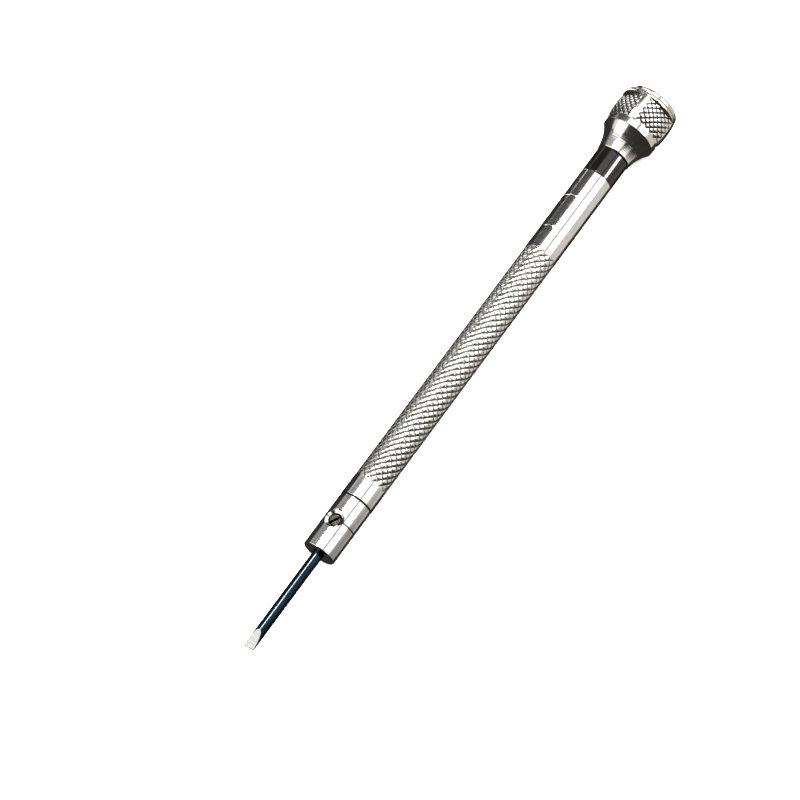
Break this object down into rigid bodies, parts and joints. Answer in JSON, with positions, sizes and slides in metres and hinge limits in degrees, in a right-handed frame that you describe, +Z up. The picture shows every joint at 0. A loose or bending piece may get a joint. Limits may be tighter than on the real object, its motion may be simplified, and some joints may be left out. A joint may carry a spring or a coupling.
{
  "type": "watchmaker screwdriver",
  "caption": "Slim steel watchmaker's screwdriver with a replaceable blade, knurled handle, black collar and free-turning ball-bearing finger head.",
  "frame": {"origin": "middle of the tool's length, on the bench under its axis, with the axis level", "axes": "+X along the tool from the blade to the finger head, +Z up"},
  "size_m": [0.1002, 0.009, 0.009],
  "materials": {
    "polished_steel": "turned and polished bright",
    "knurled_steel": "diamond knurl with polished plain ends",
    "head_steel": "polished skirt and band, knurled finger panels",
    "blued_steel": "blue-black hardened, polished round, bright ground tip",
    "dark_screw_steel": "dark turned screw",
    "black_anodised": "glossy black anodised",
    "turned_steel": "plain turned",
    "bearing_steel": "ground and lapped",
    "shield_steel": "pressed sheet",
    "cage_brass": "turned brass"
  },
  "bodies": {
    "handle": {"handle_barrel": "knurled_steel", "nose_chuck": "polished_steel", "spare_blade_1": "blued_steel", "spare_blade_2": "blued_steel"},
    "blade": {"blade": "blued_steel"},
    "set_screw": {"blade_set_screw": "dark_screw_steel"},
    "collar": {"colour_collar": "black_anodised"},
    "spindle": {"head_spindle": "turned_steel", "front_inner_race": "bearing_steel", "rear_inner_race": "bearing_steel", "inner_race_spacer": "turned_steel", "retaining_washer": "turned_steel", "retaining_screw": "dark_screw_steel"},
    "front_ball_set": {"front_ball_cage": "cage_brass", "front_balls": "bearing_steel"},
    "rear_ball_set": {"rear_ball_cage": "cage_brass", "rear_balls": "bearing_steel"},
    "head": {"head_shell": "head_steel", "finger_cap": "polished_steel", "front_outer_race": "bearing_steel", "rear_outer_race": "bearing_steel", "front_shields": "shield_steel", "rear_shields": "shield_steel", "outer_race_spacer": "turned_steel"}
  },
  "joints": [
    {"name": "blade_pull", "type": "slide", "parent": "handle", "child": "blade", "axis": [-1, 0, 0], "range_m": [0, 0.0086]},
    {"name": "set_screw_out", "type": "slide", "parent": "handle", "child": "set_screw", "axis": [0, 0.2756, 0.9613], "range_m": [0, 0.0014]},
    {"name": "collar_travel", "type": "slide", "parent": "handle", "child": "collar", "axis": [1, 0, 0], "range_m": [0, 0.004]},
    {"name": "head_unscrew", "type": "hinge", "parent": "collar", "child": "spindle", "pos_m": [0.03812, 0, 0.0045], "axis": [1, 0, 0], "range_deg": [0, 2890]},
    {"name": "head_spin", "type": "hinge", "parent": "spindle", "child": "head", "pos_m": [0.04512, 0, 0.0045], "axis": [1, 0, 0], "continuous": true},
    {"name": "front_ball_roll", "type": "hinge", "parent": "spindle", "child": "front_ball_set", "pos_m": [0.04328, 0, 0.0045], "axis": [1, 0, 0], "continuous": true},
    {"name": "rear_ball_roll", "type": "hinge", "parent": "spindle", "child": "rear_ball_set", "pos_m": [0.04698, 0, 0.0045], "axis": [1, 0, 0], "continuous": true}
  ],
  "couplings": [
    {"joint": "head_unscrew", "follows": "collar_travel", "rad_per_m": 12566},
    {"joint": "front_ball_roll", "follows": "head_spin", "ratio": 0.61268},
    {"joint": "rear_ball_roll", "follows": "head_spin", "ratio": 0.61268}
  ]
}
